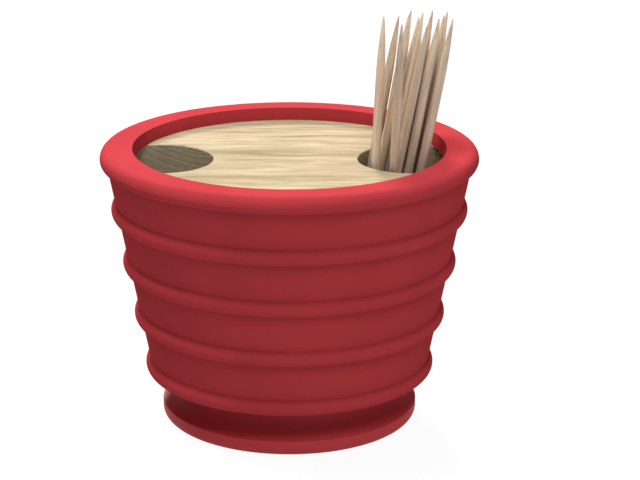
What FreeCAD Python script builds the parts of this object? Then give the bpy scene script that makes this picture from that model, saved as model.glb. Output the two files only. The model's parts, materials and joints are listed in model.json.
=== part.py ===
"""Toothpick dispenser: a ribbed pot on a foot, a rim ring that holds a notched wooden lid, and toothpicks.

Frame: +Z up, X to the right and Y to the back as the user faces it, origin at the centre of the base.
Every length is in millimetres and every angle in degrees. Outlines are (radius, height) pairs.
"""
import FreeCAD, Part
import os
from math import cos, radians, sin, sqrt, tan

import Sketcher

doc = FreeCAD.newDocument("toothpick_dispenser")

# Driving sizes. Each can be changed by itself.
SIZES = {
    # rim ring
    "rim_radius": 35.0,  # outermost reach of the rolled bead
    "rim_height": 52.0,  # top of the rim above the table
    "rim_width": 6.0,  # from the bead's outside to the opening, at the top
    "rim_draft": 0.45,  # how far the opening closes in on its way down to the lid
    "rim_depth": 3.2,  # from the top of the rim down to the pot's mouth
    "bead_overhang": 1.35,  # how far the bead stands out past the wall
    "bead_round": 1.8,  # round at the top of the bead, less than rim_depth
    # wooden lid
    "lid_drop": 2.4,  # how far the lid lies below the top of the rim
    "lid_thickness": 7.5,
    "lid_overlap": 2.1,  # how far the rim reaches in over the lid
    "lid_clearance": 0.25,  # all round, between the lid and its seat in the pot's mouth
    "glue_line": 0.05,  # all round, between the lid's edge and the rim
    "seat_gap": 0.3,  # between the lid's underside and the shoulder of its seat
    "bite_radius": 10.1,  # the two round bites in the lid's edge
    "right_bite_inset": 7.95,  # from the lid's edge in to the bite's centre
    "left_bite_inset": 6.5,
    "lid_round": 0.3,
    # pot
    "wall_draft": 11.15,
    "wall_thickness": 2.3,  # measured level
    "floor_thickness": 3.1,
    "floor_round": 3.0,
    "rib_count": 4,
    "rib_height": 3.05,
    "rib_bulge": 1.08,
    "first_rib_drop": 6.9,  # from the mouth down to the top rib
    # foot
    "foot_height": 8.75,  # from the table to the underside of the pot
    "foot_radius": 24.0,
    "foot_lip": 2.95,  # height of the lip's sharp top edge
    "foot_round": 1.6,
    "neck_radius": 19.5,
    "neck_height": 0.6,  # straight stretch of the neck, right under the pot
    "hollow_radius": 18.0,  # shallow hollow under the foot
    "hollow_depth": 1.5,
    "spigot_radius": 14.0,  # plug of the foot that fits in the pot's underside
    "spigot_height": 1.5,
    "spigot_clearance": 0.05,
    # toothpicks
    "pick_length": 65.0,
    "pick_radius": 0.875,
    "pick_taper": 12.3,  # from each end to where the stick has its full thickness
    "pick_tip": 3.0,  # the steeper last stretch of the taper
    "pick_tip_radius": 0.45,  # where the steeper stretch begins
    "pick_point": 0.12,  # radius of the blunt end of each point
    "pick_rise": 0.15,  # from the pot's floor to the lower point
    "pick_gap": 0.15,  # least distance between two toothpicks of the bunch
    # how the bunch stands in the right bite
    "bunch_count": 16,
    "bunch_lean": 9.8,  # to the right
    "bunch_tilt": -0.8,  # to the back
    "bunch_phase": 49.0,
    "bunch_twist": 3.2,  # turn of the bunch from the floor up to the lid
    "bunch_left_gap": 1.9,  # room around the bunch where it comes up through the lid: to the bite's wall
    "bunch_right_gap": 1.7,  # to the rim
    "bunch_back_gap": 1.35,  # to the bite's wall at the back
    "bunch_front_gap": 4.0,
    "foot_spread_x": 2.56,  # half width of the bunch at the floor, in toothpick pitches
    "foot_spread_y": 2.35,
    # two more toothpicks stand loose, at the left of the bunch and in front of it
    "loose_gap": 1.3,  # to the bite's wall
    "left_bearing": 208.7,  # where it stands round the bite's centre, from the right towards the back
    "left_lean": 2.7,
    "left_tilt": 3.5,
    "front_bearing": 242.4,
    "front_lean": 2.0,
    "front_tilt": -4.4,
}

# Sizes that follow from the driving ones, in the order in which they build on each other.
LAYOUT = {
    "mouth_z": "sizes.rim_height - sizes.rim_depth",
    "mouth_radius": "sizes.rim_radius - sizes.bead_overhang",
    "bead_top_radius": "sizes.rim_radius - sizes.bead_round",
    "bead_top_z": "sizes.rim_height - sizes.bead_round",
    "bead_drop": "bead_top_z - mouth_z",
    "bead_arc": "(bead_drop ^ 2 + sizes.bead_overhang ^ 2) / (2 * sizes.bead_overhang)",
    "opening_top_radius": "sizes.rim_radius - sizes.rim_width",
    "opening_low_radius": "opening_top_radius - sizes.rim_draft",
    "lid_top": "sizes.rim_height - sizes.lid_drop",
    "lid_bottom": "lid_top - sizes.lid_thickness",
    "lid_radius": "opening_low_radius + sizes.lid_overlap",
    "recess_radius": "lid_radius + sizes.glue_line",
    "right_bite_x": "lid_radius - sizes.right_bite_inset",
    "left_bite_x": "lid_radius - sizes.left_bite_inset",
    "seat_radius": "lid_radius + sizes.lid_clearance",
    "seat_z": "lid_bottom - sizes.seat_gap",
    "slope": "tan(sizes.wall_draft)",
    "seat_inner_radius": "mouth_radius - (mouth_z - seat_z) * slope - sizes.wall_thickness",
    "pot_base": "sizes.foot_height",
    "floor_z": "pot_base + sizes.floor_thickness",
    "floor_radius": "mouth_radius - (mouth_z - floor_z) * slope - sizes.wall_thickness",
    "above_mouth": "mouth_z + sizes.rim_depth",
    "socket_radius": "sizes.spigot_radius + sizes.spigot_clearance",
    "socket_top": "pot_base + sizes.spigot_height + sizes.spigot_clearance",
    "spigot_top": "pot_base + sizes.spigot_height",
    "rib_pitch": "(mouth_z - sizes.first_rib_drop - sizes.rib_height - pot_base) / (sizes.rib_count - 1)",
    "rib_chord": "sizes.rib_height / cos(sizes.wall_draft)",
    "rib_arc": "(rib_chord ^ 2 / 4 + sizes.rib_bulge ^ 2) / (2 * sizes.rib_bulge)",
    "neck_z": "pot_base - sizes.neck_height",
    "cove_drop": "neck_z - sizes.foot_lip",
    "cove_reach": "sizes.foot_radius - sizes.neck_radius",
    "cove_arc": "(cove_drop ^ 2 + cove_reach ^ 2) / (2 * cove_reach)",
    "foot_tread": "sizes.foot_radius - sizes.foot_round",
    "upper_taper": "sizes.pick_length - sizes.pick_taper",
    "upper_tip": "sizes.pick_length - sizes.pick_tip",
    "pick_foot_z": "floor_z + sizes.pick_rise",
    "pick_pitch": "2 * sizes.pick_radius + sizes.pick_gap",
    "bunch_left": "right_bite_x - sizes.bite_radius + sizes.bunch_left_gap",
    "bunch_right": "opening_low_radius - sizes.bunch_right_gap",
    "bunch_x": "(bunch_right + bunch_left) / 2",
    "bunch_half_x": "(bunch_right - bunch_left) / 2 - sizes.pick_radius",
    "bite_reach": "sqrt(sizes.bite_radius ^ 2 - (bunch_x - right_bite_x) ^ 2)",
    "bunch_back": "bite_reach - sizes.bunch_back_gap",
    "bunch_front": "sizes.bunch_front_gap - bite_reach",
    "bunch_y": "(bunch_back + bunch_front) / 2",
    "bunch_half_y": "(bunch_back - bunch_front) / 2 - sizes.pick_radius",
    "loose_reach": "sizes.bite_radius - sizes.pick_radius - sizes.loose_gap",
}


def fill(name, cells, prefix):
    """Makes a sheet with one named cell per row."""
    sheet = doc.addObject("Spreadsheet::Sheet", name)
    for row, (alias, content) in enumerate(cells.items(), start=1):
        sheet.set(f"A{row}", alias)
        sheet.set(f"B{row}", f"{prefix}{content}")
        sheet.setAlias(f"B{row}", alias)
    doc.recompute()
    return sheet


def rib_cells():
    """Heights and radii of the creases above and below each rib, counted from the top."""
    cells = {}
    for rib in range(int(SIZES["rib_count"])):
        top, low = f"rib_{rib}_top", f"rib_{rib}_low"
        cells[top] = f"mouth_z - sizes.first_rib_drop - {rib} * rib_pitch"
        cells[low] = f"{top} - sizes.rib_height"
        for crease in (top, low):
            cells[f"{crease}_radius"] = f"mouth_radius - (mouth_z - {crease}) * slope"
    return cells


sizes = fill("sizes", SIZES, "")
layout = fill("layout", LAYOUT | rib_cells(), "=")


def source(alias):
    """The sheet that holds a named cell."""
    return sizes if alias in SIZES else layout


def number(alias):
    return float(getattr(source(alias), alias))


def bind(sketch, kind, geometry, point, alias):
    """Places a point of the sketch, along one axis, by a cell of the sheets."""
    index = sketch.addConstraint(Sketcher.Constraint(kind, -1, 1, geometry, point, number(alias)))
    sketch.setExpression(f"Constraints[{index}]", f"{source(alias).Name}.{alias}")


def new_body(label):
    body = doc.addObject("PartDesign::Body", label)
    body.Label = label
    return body


def plane(body, role):
    return next(f for f in body.Origin.OriginFeatures if f.Role == role)


def new_sketch(body, name, role):
    sketch = body.newObject("Sketcher::SketchObject", name)
    sketch.AttachmentSupport = [(plane(body, role), "")]
    sketch.MapMode = "FlatFace"
    return sketch


def mid_arc(start, end, radius, side):
    """The point halfway along a short arc. Side 1 bulges to the left of the way from start to end."""
    chord = end - start
    half = chord.Length / 2
    rise = radius - sqrt(max(radius**2 - half**2, 0.0))
    left = FreeCAD.Vector(-chord.y, chord.x, 0).normalize()
    return start + chord / 2 + left * (side * rise)


def outline(sketch, corners):
    """Draws a closed outline. A corner is (radius cell, height cell) or None for the axis or the ground,
    with an arc's (radius cell, side) as a third entry where the edge that leaves it is an arc.
    """
    points = [
        FreeCAD.Vector(number(corner[0]) if corner[0] else 0.0, number(corner[1]) if corner[1] else 0.0, 0)
        for corner in corners
    ]
    arcs = {}
    for index, corner in enumerate(corners):
        start, end = points[index], points[(index + 1) % len(points)]
        if len(corner) == 3:
            radius, side = corner[2]
            sketch.addGeometry(Part.Arc(start, mid_arc(start, end, number(radius), side), end), False)
            turned = (sketch.getPoint(index, 1) - start).Length > 1e-6
            arcs[index] = (radius, turned)
        else:
            sketch.addGeometry(Part.LineSegment(start, end), False)
    ends = [(2, 1) if index in arcs and arcs[index][1] else (1, 2) for index in range(len(corners))]
    for index, corner in enumerate(corners):
        following = (index + 1) % len(corners)
        first = ends[index][0]
        sketch.addConstraint(
            Sketcher.Constraint("Coincident", index, ends[index][1], following, ends[following][0])
        )
        for kind, axis, alias in (("DistanceX", -2, corner[0]), ("DistanceY", -1, corner[1])):
            if alias:
                bind(sketch, kind, index, first, alias)
            else:
                sketch.addConstraint(Sketcher.Constraint("PointOnObject", index, first, axis))
        if index in arcs:
            alias = arcs[index][0]
            radius = sketch.addConstraint(Sketcher.Constraint("Radius", index, number(alias)))
            sketch.setExpression(f"Constraints[{radius}]", f"{source(alias).Name}.{alias}")


def turn(body, kind, name, corners):
    """Turns an outline about the upright axis: Revolution adds it and Groove takes it away."""
    sketch = new_sketch(body, f"{body.Name}_{name}", "XZ_Plane")
    outline(sketch, corners)
    doc.recompute()
    before = body.Shape.Volume if kind == "Groove" else 0.0
    feature = body.newObject(f"PartDesign::{kind}", f"{body.Name}_{name}_{kind.lower()}")
    feature.Profile = sketch
    feature.ReferenceAxis = (sketch, ["V_Axis"])
    feature.Angle = 360.0
    doc.recompute()
    after = body.Shape.Volume
    if (after >= before) if kind == "Groove" else (after <= before):
        raise RuntimeError(f"{feature.Name} changed nothing")
    return feature


def circle_edges(feature, spots):
    """Names of the feature's round edges at the given (radius, height) spots."""
    names = []
    for index, edge in enumerate(feature.Shape.Edges, start=1):
        if not isinstance(edge.Curve, Part.Circle):
            continue
        height = edge.Curve.Center.z
        if any(abs(edge.Curve.Radius - r) < 1e-4 and abs(height - z) < 1e-4 for r, z in spots):
            names.append(f"Edge{index}")
    return names


def soften(body, feature, name, alias, edges):
    """Rounds the given edges of the body's last feature."""
    fillet = body.newObject("PartDesign::Fillet", f"{body.Name}_{name}")
    fillet.Base = (feature, edges)
    fillet.setExpression("Radius", f"{source(alias).Name}.{alias}")
    doc.recompute()
    return fillet


def make_pot_body():
    """Tapered shell with half-round ribs, a floor, a seat for the lid and a socket for the foot."""
    body = new_body("pot_body")
    outside = [(None, "socket_top"), ("socket_radius", "socket_top"), ("socket_radius", "pot_base")]
    for rib in reversed(range(int(number("rib_count")))):
        top, low = f"rib_{rib}_top", f"rib_{rib}_low"
        outside.append((f"{low}_radius", low, ("rib_arc", -1)))
        outside.append((f"{top}_radius", top))
    outside += [("mouth_radius", "mouth_z"), (None, "mouth_z")]
    turn(body, "Revolution", "outside", outside)
    inside = [
        (None, "floor_z"),
        ("floor_radius", "floor_z"),
        ("seat_inner_radius", "seat_z"),
        ("seat_radius", "seat_z"),
        ("seat_radius", "above_mouth"),
        (None, "above_mouth"),
    ]
    hollow = turn(body, "Groove", "inside", inside)
    corner = circle_edges(hollow, [(number("floor_radius"), number("floor_z"))])
    soften(body, hollow, "floor_round", "floor_round", corner)
    return body


def make_foot():
    """Flared foot with a coved neck, a plug on top and a shallow hollow underneath."""
    body = new_body("foot")
    section = [
        (None, "hollow_depth"),
        ("hollow_radius", "hollow_depth"),
        ("hollow_radius", None),
        ("foot_tread", None, ("foot_round", -1)),
        ("foot_radius", "foot_round"),
        ("foot_radius", "foot_lip", ("cove_arc", 1)),
        ("neck_radius", "neck_z"),
        ("neck_radius", "pot_base"),
        ("spigot_radius", "pot_base"),
        ("spigot_radius", "spigot_top"),
        (None, "spigot_top"),
    ]
    turn(body, "Revolution", "section", section)
    return body


def make_rim_ring():
    """Ring with a rolled bead outside and a lip that reaches in over the lid's edge."""
    body = new_body("rim_ring")
    section = [
        ("opening_low_radius", "lid_top"),
        ("recess_radius", "lid_top"),
        ("recess_radius", "mouth_z"),
        ("mouth_radius", "mouth_z", ("bead_arc", -1)),
        ("rim_radius", "bead_top_z", ("bead_round", -1)),
        ("bead_top_radius", "rim_height"),
        ("opening_top_radius", "rim_height"),
    ]
    turn(body, "Revolution", "section", section)
    return body


def make_wood_lid():
    """Round board with a bite out of its right and its left edge."""
    body = new_body("wood_lid")
    disc = new_sketch(body, "wood_lid_disc", "XY_Plane")
    disc.AttachmentOffset = FreeCAD.Placement(FreeCAD.Vector(0, 0, number("lid_bottom")), FreeCAD.Rotation())
    disc.setExpression("AttachmentOffset.Base.z", "layout.lid_bottom")
    circle = disc.addGeometry(Part.Circle(FreeCAD.Vector(), FreeCAD.Vector(0, 0, 1), number("lid_radius")))
    disc.addConstraint(Sketcher.Constraint("Coincident", circle, 3, -1, 1))
    size = disc.addConstraint(Sketcher.Constraint("Radius", circle, number("lid_radius")))
    disc.setExpression(f"Constraints[{size}]", "layout.lid_radius")
    board = body.newObject("PartDesign::Pad", "wood_lid_board")
    board.Profile = disc
    board.setExpression("Length", "sizes.lid_thickness")
    doc.recompute()
    whole = board.Shape.Volume

    bites = new_sketch(body, "wood_lid_bite_circles", "XY_Plane")
    bites.AttachmentOffset = disc.AttachmentOffset
    bites.setExpression("AttachmentOffset.Base.z", "layout.lid_bottom")
    for side, alias in ((1, "right_bite_x"), (-1, "left_bite_x")):
        centre = FreeCAD.Vector(side * number(alias), 0, 0)
        circle = bites.addGeometry(Part.Circle(centre, FreeCAD.Vector(0, 0, 1), number("bite_radius")))
        bites.addConstraint(Sketcher.Constraint("PointOnObject", circle, 3, -1))
        place = bites.addConstraint(Sketcher.Constraint("DistanceX", -1, 1, circle, 3, side * number(alias)))
        bites.setExpression(f"Constraints[{place}]", f"{side} * layout.{alias}")
        size = bites.addConstraint(Sketcher.Constraint("Radius", circle, number("bite_radius")))
        bites.setExpression(f"Constraints[{size}]", "sizes.bite_radius")
    cut = body.newObject("PartDesign::Pocket", "wood_lid_bites")
    cut.Profile = bites
    cut.Type = "ThroughAll"
    cut.Reversed = True
    doc.recompute()
    if cut.Shape.Volume >= whole:
        raise RuntimeError("the bites took nothing off the lid")
    top = number("lid_top")
    spots = [(number("bite_radius"), top), (number("bite_radius"), number("lid_bottom"))]
    soften(body, cut, "softened", "lid_round", circle_edges(cut, spots))
    return body


def toothpick_places():
    """Where each toothpick crosses the plane of the lid's top, and its slope per millimetre of height.

    The two loose toothpicks come first. The bunch fills an ellipse on the floor and one in the bite, in the
    even order of a sunflower's seeds. The upper ellipse is turned against the lower one, so no two toothpicks
    of the bunch are parallel.
    """
    golden_angle = 180.0 * (3.0 - sqrt(5.0))
    climb = number("lid_top") - number("pick_foot_z")
    middle = number("bunch_x"), number("bunch_y")
    upper_spread = number("bunch_half_x"), number("bunch_half_y")
    lower_spread = [number(alias) * number("pick_pitch") for alias in ("foot_spread_x", "foot_spread_y")]
    lean = [tan(radians(number(alias))) for alias in ("bunch_lean", "bunch_tilt")]
    count = int(number("bunch_count"))
    places = []
    for seed in range(count):
        reach = sqrt((seed + 0.5) / count)
        low = radians(number("bunch_phase") + seed * golden_angle)
        high = low + radians(number("bunch_twist"))
        upper = [spread * reach * turn for spread, turn in zip(upper_spread, (cos(high), sin(high)))]
        lower = [spread * reach * turn for spread, turn in zip(lower_spread, (cos(low), sin(low)))]
        place = [middle[axis] + upper[axis] for axis in (0, 1)]
        slope = [lean[axis] + (upper[axis] - lower[axis]) / climb for axis in (0, 1)]
        places.append((place, slope))
    loose = []
    for side in ("left", "front"):
        bearing, reach = radians(number(f"{side}_bearing")), number("loose_reach")
        place = [number("right_bite_x") + reach * cos(bearing), reach * sin(bearing)]
        slope = [tan(radians(number(f"{side}_{angle}"))) for angle in ("lean", "tilt")]
        loose.append((place, slope))
    return loose + places


def make_toothpick(label, place, slope):
    """Round stick with a long point at each end, standing on the pot's floor through the lid's bite."""
    body = new_body(label)
    section = [
        (None, None),
        ("pick_point", None),
        ("pick_tip_radius", "pick_tip"),
        ("pick_radius", "pick_taper"),
        ("pick_radius", "upper_taper"),
        ("pick_tip_radius", "upper_tip"),
        ("pick_point", "pick_length"),
        (None, "pick_length"),
    ]
    turn(body, "Revolution", "section", section)
    axis = FreeCAD.Vector(slope[0], slope[1], 1)
    crossing = FreeCAD.Vector(place[0], place[1], number("lid_top"))
    foot = crossing - axis * (number("lid_top") - number("pick_foot_z"))
    body.Placement = FreeCAD.Placement(foot, FreeCAD.Rotation(FreeCAD.Vector(0, 0, 1), axis))
    return body


parts = [make_pot_body(), make_foot(), make_rim_ring(), make_wood_lid()]
for count, (place, slope) in enumerate(toothpick_places(), start=1):
    parts.append(make_toothpick(f"toothpick_{count:02d}", place, slope))

doc.recompute()
for item in doc.Objects:
    if {"Invalid", "Error"} & set(item.State):
        raise RuntimeError(f"{item.Label} failed: {item.State}")
for body in parts:
    shape = body.Shape
    if shape.isNull() or not shape.isValid() or len(shape.Solids) != 1:
        raise RuntimeError(f"{body.Label} isn't one valid solid")

os.makedirs("parts", exist_ok=True)
for body in parts:
    body.Shape.exportStep(f"parts/{body.Label}.step")
    box = body.Shape.BoundBox
    print(f"{body.Label}: {body.Shape.Volume:.1f} mm3, z {box.ZMin:.2f} to {box.ZMax:.2f}")
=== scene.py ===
"""Toothpick dispenser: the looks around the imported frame. Lengths are in metres.

The red pieces and the wooden lid keep their own meshes and get their finish here. Each toothpick is
replaced by a split-wood stick of the same length and thickness in the same place.
"""
import json
from math import cos, pi, radians, sin, sqrt

import bmesh
import bpy
from mathutils import Matrix, Vector, noise


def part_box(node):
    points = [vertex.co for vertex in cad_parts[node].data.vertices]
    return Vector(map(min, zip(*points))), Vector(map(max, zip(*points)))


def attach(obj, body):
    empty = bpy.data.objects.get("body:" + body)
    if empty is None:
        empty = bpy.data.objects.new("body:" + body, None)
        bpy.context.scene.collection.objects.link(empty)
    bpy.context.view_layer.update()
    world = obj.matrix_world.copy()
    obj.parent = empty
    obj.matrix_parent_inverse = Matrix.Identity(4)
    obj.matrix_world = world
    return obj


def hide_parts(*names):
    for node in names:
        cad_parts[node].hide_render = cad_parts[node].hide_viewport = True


# Shape of the toothpicks
PICK_RADIUS = 0.000875
PICK_POINT = 0.00012  # radius of the blunt ends
PICK_TAPER = 0.0123  # length of each point
PICK_SIDES = 20
PICK_BODY_RINGS = 26
PICK_TAPER_RINGS = 14
TAPER_CROWDING = 1.3  # above 1, the rings of a point are closer together towards its tip
FLAT_DEPTH = 0.09  # the most that a flat takes off the radius, as a share of it
FLATS_AROUND = 1.7  # noise cells from the axis to the surface
FLATS_ALONG = 45.0  # noise cells per metre of length
FLATS_SHIFT = 19.0  # noise cells from one stick to the next
FIBRE_SHIFT = 0.37  # metres of the fibres' noise from one stick to the next
SPIN_STEP = 137.5  # degrees about the axis from one stick to the next

# In the finishes below, colours are linear, a scale is in noise cells per metre and three scales are
# those along X, Y and Z. Tones are the factors between which a colour varies.

# Spans of noise values that a colour or tone runs across: the narrower, the harder its borders
HARD_SPAN = (0.35, 0.65)
MIDDLE_SPAN = (0.30, 0.70)
SOFT_SPAN = (0.25, 0.75)

# Red plastic
RED = (0.56, 0.056, 0.066)
RED_MOTTLE = 0.93  # tone of the darker patches
RED_ROUGHNESS = (0.56, 0.64)
RED_PATCH_SCALE = 60.0
RED_PEEL_SCALE = 2600.0
RED_PEEL_DEPTH = 0.00004
PAINTED_SHADE_HEIGHTS = (0.0032, 0.0048)  # above the table: below them no crease gets painted shade, above them each does

# Wood of the lid, whose grain runs along X
WOOD_PALE = (0.635, 0.52, 0.345)
WOOD_MID = (0.515, 0.41, 0.265)
WOOD_DARK = (0.400, 0.315, 0.190)
WOOD_STREAKS = ((0.34, WOOD_DARK), (0.50, WOOD_MID), (0.66, WOOD_PALE))
# The next colour is a painted highlight along the lid's rounded edges
WOOD_EDGE_HIGHLIGHT = (0.70, 0.59, 0.42)
WOOD_ROUGHNESS = 0.62
WOOD_SHEEN = 0.0
EDGE_HIGHLIGHT_LEVELNESS = (0.80, 0.97)  # 1 is a level surface: below these it is an edge with a painted highlight, above them the face
WALL_LEVELNESS = (0.25, 0.50)  # below these it is a wall, above them an edge
SWAY = 0.006  # how far the streaks wander along Y
SWAY_SCALES = (40.0, 60.0, 60.0)
STREAK_SCALES = (30.0, 400.0, 90.0)
FIBRE_SCALES = (160.0, 2300.0, 1500.0)
FIBRE_TONES = (0.80, 1.13)
FIBRE_DEPTH = 0.00008
CLOUD_SCALES = (45.0, 90.0, 90.0)
CLOUD_TONES = (0.94, 1.07)

# Sawn walls of the lid's bites, with painted shade where they are closed in
SAWN_WOOD = (0.53, 0.49, 0.325)
SAWN_REACH = 0.010
SAWN_OPENNESS = (0.05, 0.60)  # openness at the darkest and at the lightest painted shade
SAWN_SHADE_TONES = (0.40, 1.0)
RINGS_ACROSS = (0.35, 0.45, 0.82)  # direction across the growth rings
RINGS_SCALE = 2300.0
RINGS_TONES = (0.80, 1.10)

# Wood of the toothpicks, whose grain runs along their own Z
PICK_PALE = (0.94, 0.785, 0.605)
PICK_MID = (0.88, 0.715, 0.545)
PICK_DARK = (0.58, 0.45, 0.32)
PICK_STREAKS = ((0.30, PICK_DARK), (0.47, PICK_MID), (0.60, PICK_PALE))
PICK_ROUGHNESS = 0.68
PICK_SHEEN = 0.05
PICK_FIBRE_SCALES = (5200.0, 5200.0, 110.0)
PICK_FIBRE_DEPTH = 0.00006
PICK_PATCH_SCALES = (900.0, 900.0, 60.0)
PICK_TONES = (0.84, 1.08)  # from patch to patch, and again from stick to stick
# Painted shade between the sticks, where they close each other in
BUNCH_REACH = 0.0036
BUNCH_OPENNESS = (0.08, 0.78)  # openness at the darkest and at the lightest painted shade
BUNCH_SHADE_TONES = (0.30, 1.0)

# Floor and world, as they are seen and as they light the object
FLOOR_REACH = 3.0  # from its middle to an edge
FLOOR_SEEN_GREY = 0.10  # takes the shadow
FLOOR_SEEN_GLOW = 0.93
FLOOR_LIGHT_GREY = 0.20  # throws the lamps' light back up
FLOOR_LIGHT_GLOW = 0.33
SKY_HEIGHTS = (0.5, 1.0)  # sine of the elevation where the sky begins to shine and where it shines most
SKY_GLOW = 0.33

# Camera, at the photograph's viewing angle
CAMERA_BACK = 0.4076
CAMERA_HEIGHT = 0.1615
CAMERA_TILT = 72.60  # degrees from straight down
CAMERA_NEAR = 0.01
LENS = 128.47
SENSOR = 36.0
SHIFT_X = 0.0478

# Sockets of a mix node that mixes colours
MIX_FACTOR, MIX_FIRST, MIX_SECOND = 0, 6, 7
MIX_RESULT = 2

OPENNESS_SAMPLES = 16

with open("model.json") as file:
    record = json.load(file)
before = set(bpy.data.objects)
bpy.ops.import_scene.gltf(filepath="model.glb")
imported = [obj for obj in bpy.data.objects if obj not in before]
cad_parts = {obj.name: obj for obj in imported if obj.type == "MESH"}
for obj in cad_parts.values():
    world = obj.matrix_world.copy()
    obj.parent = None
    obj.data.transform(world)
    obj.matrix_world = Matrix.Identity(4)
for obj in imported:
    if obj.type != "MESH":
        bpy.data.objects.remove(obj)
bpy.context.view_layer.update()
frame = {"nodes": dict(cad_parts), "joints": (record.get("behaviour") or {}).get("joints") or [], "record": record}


def opaque(colour):
    """Three channels as a socket takes them. Another node's output stays as it is."""
    if isinstance(colour, bpy.types.NodeSocket):
        return colour
    return (*colour, 1.0)


def grey(level):
    return opaque((level, level, level))


class Graph:
    """A material's or world's node tree with short calls to add and join nodes."""

    def __init__(self, owner):
        owner.use_nodes = True
        self.tree = owner.node_tree
        self.tree.nodes.clear()

    def add(self, kind, inputs=(), **settings):
        """Adds a node. An input's value is a number, a vector, a colour or another node's output."""
        node = self.tree.nodes.new(kind)
        for name, value in settings.items():
            setattr(node, name, value)
        for name, value in dict(inputs).items():
            if isinstance(value, bpy.types.NodeSocket):
                self.tree.links.new(value, node.inputs[name])
            else:
                node.inputs[name].default_value = value
        return node

    def place(self):
        """The shaded point in its object's own frame."""
        return self.add("ShaderNodeTexCoord").outputs["Object"]

    def z_of(self, vector):
        return self.add("ShaderNodeSeparateXYZ", {0: vector}).outputs["Z"]

    def math(self, operation, first, second=0.0):
        return self.add("ShaderNodeMath", {0: first, 1: second}, operation=operation).outputs[0]

    def vector_sum(self, first, second):
        return self.add("ShaderNodeVectorMath", {0: first, 1: second}, operation="ADD").outputs[0]

    def fade(self, value, span, ends=(0.0, 1.0)):
        """Goes smoothly from the first end to the second while the value crosses the span."""
        inputs = {
            "Value": value,
            "From Min": span[0],
            "From Max": span[1],
            "To Min": ends[0],
            "To Max": ends[1],
        }
        node = self.add("ShaderNodeMapRange", inputs, interpolation_type="SMOOTHSTEP")
        return node.outputs["Result"]

    def noise(self, vector, scale, detail=2.0, roughness=0.5, distortion=0.0):
        inputs = {
            "Vector": vector,
            "Scale": scale,
            "Detail": detail,
            "Roughness": roughness,
            "Distortion": distortion,
        }
        return self.add("ShaderNodeTexNoise", inputs).outputs["Fac"]

    def grain(self, vector, scales, **settings):
        """Noise with a scale of its own along each axis."""
        stretched = self.add("ShaderNodeMapping", {"Vector": vector, "Scale": scales})
        return self.noise(stretched.outputs["Vector"], 1.0, **settings)

    def openness(self, reach):
        """1 where nothing lies within reach of the surface, down to 0 where it is closed in."""
        node = self.add("ShaderNodeAmbientOcclusion", {"Distance": reach}, samples=OPENNESS_SAMPLES)
        return node.outputs["AO"]

    def ramp(self, value, stops):
        """Colour ramp with (position, colour) stops."""
        node = self.add("ShaderNodeValToRGB", {"Fac": value})
        elements = node.color_ramp.elements
        while len(elements) < len(stops):
            elements.new(0.5)
        for element, (position, colour) in zip(elements, stops):
            element.position = position
            element.color = opaque(colour)
        return node.outputs["Color"]

    def mix(self, factor, first, second, blend="MIX"):
        """The first colour where the factor is 0, blended fully with the second where it is 1."""
        inputs = {MIX_FACTOR: factor, MIX_FIRST: opaque(first), MIX_SECOND: opaque(second)}
        node = self.add("ShaderNodeMix", inputs, data_type="RGBA", blend_type=blend)
        return node.outputs[MIX_RESULT]

    def toned(self, colour, tone):
        """Each channel of a colour times the tone."""
        level = self.add("ShaderNodeCombineColor", {0: tone, 1: tone, 2: tone}).outputs[0]
        return self.mix(1.0, colour, level, blend="MULTIPLY")

    def bump(self, height, strength, depth):
        inputs = {"Height": height, "Strength": strength, "Distance": depth}
        return self.add("ShaderNodeBump", inputs).outputs["Normal"]

    def finish(self, colour, roughness, sheen, normal):
        """Ends a material in its shader. Sheen is its specular level."""
        inputs = {
            "Base Color": colour,
            "Roughness": roughness,
            "Specular IOR Level": sheen,
            "Normal": normal,
        }
        shader = self.add("ShaderNodeBsdfPrincipled", inputs)
        self.add("ShaderNodeOutputMaterial", {"Surface": shader.outputs[0]})


def red_plastic(name, reach, depth, painted_light_tint=1.0, sheen=0.0):
    """Matte moulded plastic: a faint orange-peel texture and a slight mottling, with painted shade in its creases.

    The painted shade darkens a crease by up to depth where it is closed in within reach, but not next to the
    table.
    The red is RED times its tint; a tint above 1 is a lighter copy of the same red, painted light.
    """
    material = bpy.data.materials.new(name)
    graph = Graph(material)
    place = graph.place()
    red = tuple(channel * painted_light_tint for channel in RED)
    mottled = tuple(channel * RED_MOTTLE for channel in red)
    patches = graph.noise(place, RED_PATCH_SCALE, detail=3.0)
    colour = graph.mix(graph.fade(patches, HARD_SPAN), mottled, red)
    # painted shade: darker where the surface is closed in, as shade falls in creases
    closeness = graph.math("SUBTRACT", 1.0, graph.openness(reach))
    share = graph.fade(graph.z_of(place), PAINTED_SHADE_HEIGHTS, (0.0, depth))
    painted_crease_shade = graph.math("MULTIPLY", closeness, share)
    colour = graph.toned(colour, graph.math("SUBTRACT", 1.0, painted_crease_shade))
    roughness = graph.fade(patches, MIDDLE_SPAN, RED_ROUGHNESS)
    peel = graph.bump(graph.noise(place, RED_PEEL_SCALE), strength=0.10, depth=RED_PEEL_DEPTH)
    graph.finish(colour, roughness, sheen, peel)
    return material


def sawn_wood(graph, place):
    """Colour of the bites' walls: greyer and with growth rings, with painted shade that is darker towards the
    bottom.
    """
    across = graph.add("ShaderNodeVectorMath", {0: place, 1: RINGS_ACROSS}, operation="DOT_PRODUCT")
    inputs = {"W": across.outputs["Value"], "Scale": RINGS_SCALE, "Detail": 2.0}
    rings = graph.add("ShaderNodeTexNoise", inputs, noise_dimensions="1D").outputs["Fac"]
    ring_tone = graph.fade(rings, HARD_SPAN, RINGS_TONES)
    # painted shade in the bites, darker where the walls are closed in
    sawn_shade_tone = graph.fade(graph.openness(SAWN_REACH), SAWN_OPENNESS, SAWN_SHADE_TONES)
    return graph.toned(SAWN_WOOD, graph.math("MULTIPLY", sawn_shade_tone, ring_tone))


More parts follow.
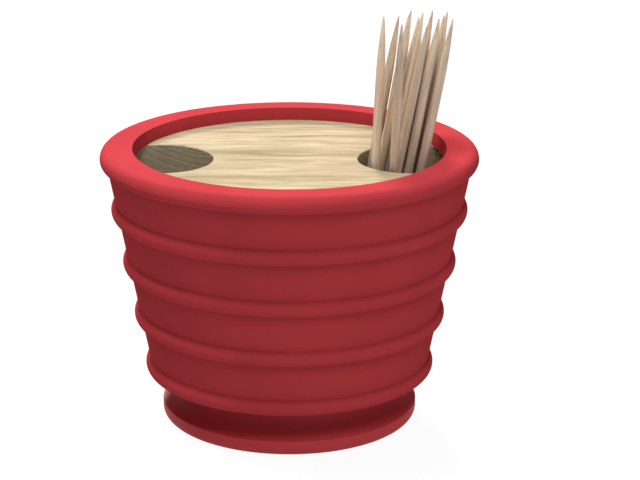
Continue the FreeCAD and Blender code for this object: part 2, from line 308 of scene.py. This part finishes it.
def lid_wood():
    """Sanded pale hardwood with a painted highlight on its edges, and sawn walls with painted shade in its bites.
    """
    material = bpy.data.materials.new("lid_wood_finish")
    graph = Graph(material)
    place = graph.place()

    sideways = graph.math("MULTIPLY", graph.grain(place, SWAY_SCALES), SWAY)
    sway = graph.add("ShaderNodeCombineXYZ", {"Y": sideways}).outputs[0]
    swayed = graph.vector_sum(place, sway)
    streaks = graph.grain(swayed, STREAK_SCALES, detail=5.0, roughness=0.66, distortion=0.5)
    colour = graph.ramp(streaks, WOOD_STREAKS)

    facing = graph.add("ShaderNodeNewGeometry").outputs["True Normal"]
    levelness = graph.math("ABSOLUTE", graph.z_of(facing))
    highlight_share = graph.fade(levelness, EDGE_HIGHLIGHT_LEVELNESS, (1.0, 0.0))
    wall_share = graph.fade(levelness, WALL_LEVELNESS, (1.0, 0.0))
    # painted highlight on the rounded edges
    colour = graph.mix(highlight_share, colour, WOOD_EDGE_HIGHLIGHT)
    colour = graph.mix(wall_share, colour, sawn_wood(graph, place))

    fibres = graph.grain(swayed, FIBRE_SCALES, detail=3.0, roughness=0.6)
    fibre_tone = graph.fade(fibres, SOFT_SPAN, FIBRE_TONES)
    cloud_tone = graph.fade(graph.grain(place, CLOUD_SCALES), MIDDLE_SPAN, CLOUD_TONES)
    colour = graph.toned(colour, graph.math("MULTIPLY", fibre_tone, cloud_tone))
    normal = graph.bump(fibres, strength=0.25, depth=FIBRE_DEPTH)
    graph.finish(colour, WOOD_ROUGHNESS, WOOD_SHEEN, normal)
    return material


def pick_wood():
    """Raw split wood. Some sticks are darker than others, and all carry painted shade deep in the bunch."""
    material = bpy.data.materials.new("pick_wood_finish")
    graph = Graph(material)
    seed = graph.add("ShaderNodeAttribute", attribute_name="seed").outputs["Fac"]
    shift = graph.add("ShaderNodeCombineXYZ", {"X": seed, "Y": seed, "Z": seed}).outputs[0]
    place = graph.vector_sum(graph.place(), shift)
    fibres = graph.grain(place, PICK_FIBRE_SCALES, detail=3.0, roughness=0.6)
    colour = graph.ramp(fibres, PICK_STREAKS)
    patches = graph.grain(place, PICK_PATCH_SCALES)
    colour = graph.toned(colour, graph.fade(patches, MIDDLE_SPAN, PICK_TONES))
    own = graph.add("ShaderNodeTexWhiteNoise", {"W": seed}, noise_dimensions="1D").outputs["Value"]
    own_tone = graph.fade(own, (0.0, 1.0), PICK_TONES)
    # painted shade between the sticks
    bunch_shade_tone = graph.fade(graph.openness(BUNCH_REACH), BUNCH_OPENNESS, BUNCH_SHADE_TONES)
    colour = graph.toned(colour, graph.math("MULTIPLY", bunch_shade_tone, own_tone))
    normal = graph.bump(fibres, strength=0.35, depth=PICK_FIBRE_DEPTH)
    graph.finish(colour, PICK_ROUGHNESS, PICK_SHEEN, normal)
    return material


def finish_node(name, material):
    """Gives a node of the frame its finish."""
    mesh = frame["nodes"][name].data
    mesh.materials.clear()
    mesh.materials.append(material)
    mesh.shade_smooth()


def mesh_of(built, name):
    """Makes a mesh of a bmesh and frees the bmesh."""
    mesh = bpy.data.meshes.new(name)
    built.to_mesh(mesh)
    built.free()
    return mesh


def add_object(name, data):
    """Puts a mesh, a lamp or a camera into the scene."""
    added = bpy.data.objects.new(name, data)
    bpy.context.scene.collection.objects.link(added)
    return added


def taper(distance):
    """Radius of a stick at a distance from its end: a long, slightly convex point."""
    share = min(distance / PICK_TAPER, 1.0)
    return PICK_POINT + (PICK_RADIUS - PICK_POINT) * (1 - (1 - share) ** 2)


def stick_heights(length):
    """Heights of a stick's rings, closer together along the two points."""
    shares = [(ring / PICK_TAPER_RINGS) ** TAPER_CROWDING for ring in range(PICK_TAPER_RINGS)]
    lower = [PICK_TAPER * share for share in shares]
    straight = length - 2 * PICK_TAPER
    middle = [PICK_TAPER + straight * ring / PICK_BODY_RINGS for ring in range(PICK_BODY_RINGS + 1)]
    return lower + middle + [length - height for height in reversed(lower)]


def make_stick(name, length, seed):
    """Mesh of a double-pointed stick along Z, with long flats and ridges as split wood has."""
    built = bmesh.new()
    rings = []
    for height in stick_heights(length):
        radius = taper(min(height, length - height))
        along = height * FLATS_ALONG + seed * FLATS_SHIFT
        ring = []
        for side in range(PICK_SIDES):
            turn = 2 * pi * side / PICK_SIDES
            spot = Vector((cos(turn) * FLATS_AROUND, sin(turn) * FLATS_AROUND, along))
            cut = 0.5 + 0.5 * noise.noise(spot)
            reach = radius * (1 - FLAT_DEPTH * cut)
            ring.append(built.verts.new((reach * cos(turn), reach * sin(turn), height)))
        rings.append(ring)
    for below, above in zip(rings, rings[1:]):
        for side in range(PICK_SIDES):
            following = (side + 1) % PICK_SIDES
            built.faces.new((below[side], below[following], above[following], above[side]))
    built.faces.new(list(reversed(rings[0])))
    built.faces.new(rings[-1])
    mesh = mesh_of(built, name)
    mesh.shade_smooth()
    marks = mesh.attributes.new("seed", "FLOAT", "POINT")
    marks.data.foreach_set("value", [seed * FIBRE_SHIFT] * len(mesh.vertices))
    return mesh


def make_toothpick(node, body, axis, seed, material):
    """Stands a stick in the place of a node, along its axis.

    A stick is alike at both ends, so the middle of its box is its own middle. A leaning blunt end
    reaches past its own middle by its radius times the lean.
    """
    low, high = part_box(node)
    lean = sqrt(1 - axis.z**2)
    length = (high.z - low.z - 2 * PICK_POINT * lean) / axis.z
    mesh = make_stick(f"{node}_stick", length, seed)
    mesh.materials.append(material)
    stick = add_object(f"{node}_stick", mesh)
    spin = Matrix.Rotation(radians(seed * SPIN_STEP), 4, "Z")
    turn = Vector((0, 0, 1)).rotation_difference(axis).to_matrix().to_4x4()
    foot = (low + high) / 2 - axis * (length / 2)
    stick.matrix_world = Matrix.Translation(foot) @ turn @ spin
    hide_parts(node)
    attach(stick, body)


def make_toothpicks(material):
    """Makes a stick for each body that is drawn out, along the axis of its joint."""
    draws = [joint for joint in frame["joints"] if joint["name"].endswith("_draw")]
    for seed, joint in enumerate(draws, start=1):
        body = joint["child"]
        node = frame["record"]["behaviour"]["bodies"][body][0]
        make_toothpick(node, body, Vector(joint["axis"]).normalized(), seed, material)


def seen_directly(graph):
    """1 for camera, glossy and transmission rays, else 0."""
    rays = graph.add("ShaderNodeLightPath")
    total = graph.math("ADD", rays.outputs["Is Camera Ray"], rays.outputs["Is Glossy Ray"])
    return graph.math("MINIMUM", graph.math("ADD", total, rays.outputs["Is Transmission Ray"]), 1.0)


def glowing(graph, level, glow):
    """Shader of a grey surface with a white glow."""
    surface = graph.add("ShaderNodeBsdfDiffuse", {"Color": grey(level)})
    shine = graph.add("ShaderNodeEmission", {"Color": grey(1.0), "Strength": glow})
    return graph.add("ShaderNodeAddShader", {0: surface.outputs[0], 1: shine.outputs[0]}).outputs[0]


def make_floor():
    """Pale floor that shows white, keeps the soft shadow and throws little light back up."""
    built = bmesh.new()
    signs = ((-1, -1), (1, -1), (1, 1), (-1, 1))
    built.faces.new([built.verts.new((x * FLOOR_REACH, y * FLOOR_REACH, 0.0)) for x, y in signs])
    mesh = mesh_of(built, "floor")
    floor = add_object("floor", mesh)
    material = bpy.data.materials.new("floor_finish")
    graph = Graph(material)
    seen = glowing(graph, FLOOR_SEEN_GREY, FLOOR_SEEN_GLOW)
    lighting = glowing(graph, FLOOR_LIGHT_GREY, FLOOR_LIGHT_GLOW)
    both = graph.add("ShaderNodeMixShader", {0: seen_directly(graph), 1: lighting, 2: seen})
    graph.add("ShaderNodeOutputMaterial", {"Surface": both.outputs[0]})
    mesh.materials.append(material)


def make_world():
    """White where it is seen. As a light it shines from overhead and is dark near the horizon."""
    world = bpy.data.worlds.new("studio")
    bpy.context.scene.world = world
    graph = Graph(world)
    direction = graph.add("ShaderNodeTexCoord").outputs["Generated"]
    sky = graph.fade(graph.z_of(direction), SKY_HEIGHTS, (0.0, SKY_GLOW))
    strength = graph.math("MAXIMUM", sky, seen_directly(graph))
    shader = graph.add("ShaderNodeBackground", {"Color": grey(1.0), "Strength": strength})
    graph.add("ShaderNodeOutputWorld", {"Surface": shader.outputs[0]})


def make_sun(name, strength, angle, azimuth, elevation):
    """Wide soft light, with its angles in degrees.

    Azimuth 0 shines from behind the camera, 90 from the right.
    """
    light = bpy.data.lights.new(name, "SUN")
    light.energy = strength
    light.angle = radians(angle)
    lamp = add_object(name, light)
    around, up = radians(azimuth), radians(elevation)
    source = Vector((sin(around) * cos(up), -cos(around) * cos(up), sin(up)))
    lamp.rotation_euler = source.to_track_quat("Z", "Y").to_euler()


def make_camera():
    data = bpy.data.cameras.new("camera")
    data.lens = LENS
    data.sensor_width = SENSOR
    data.shift_x = SHIFT_X
    data.clip_start = CAMERA_NEAR
    camera = add_object("camera", data)
    camera.location = (0.0, -CAMERA_BACK, CAMERA_HEIGHT)
    camera.rotation_euler = (radians(CAMERA_TILT), 0.0, 0.0)
    bpy.context.scene.camera = camera


# reach and depth set the painted shade in each piece's creases
finish_node("pot_body", red_plastic("pot_red_finish", reach=0.003, depth=0.85))
finish_node("rim_ring", red_plastic("rim_red_finish", reach=0.003, depth=0.45))
# The foot's red is a lighter copy of the same red, painted light on its lip.
finish_node("foot", red_plastic("foot_red_finish", reach=0.007, depth=0.46, painted_light_tint=1.12, sheen=0.10))
finish_node("wood_lid", lid_wood())
make_toothpicks(pick_wood())

make_floor()
make_world()
make_sun("key", strength=3.15, angle=12.0, azimuth=-173.0, elevation=30.0)
make_sun("left_high", strength=2.05, angle=25.0, azimuth=-98.0, elevation=72.0)
make_sun("front_high", strength=0.84, angle=20.0, azimuth=16.0, elevation=55.0)
make_sun("front_low", strength=0.38, angle=30.0, azimuth=24.0, elevation=12.0)
make_camera()
bpy.context.scene.view_settings.view_transform = "Standard"
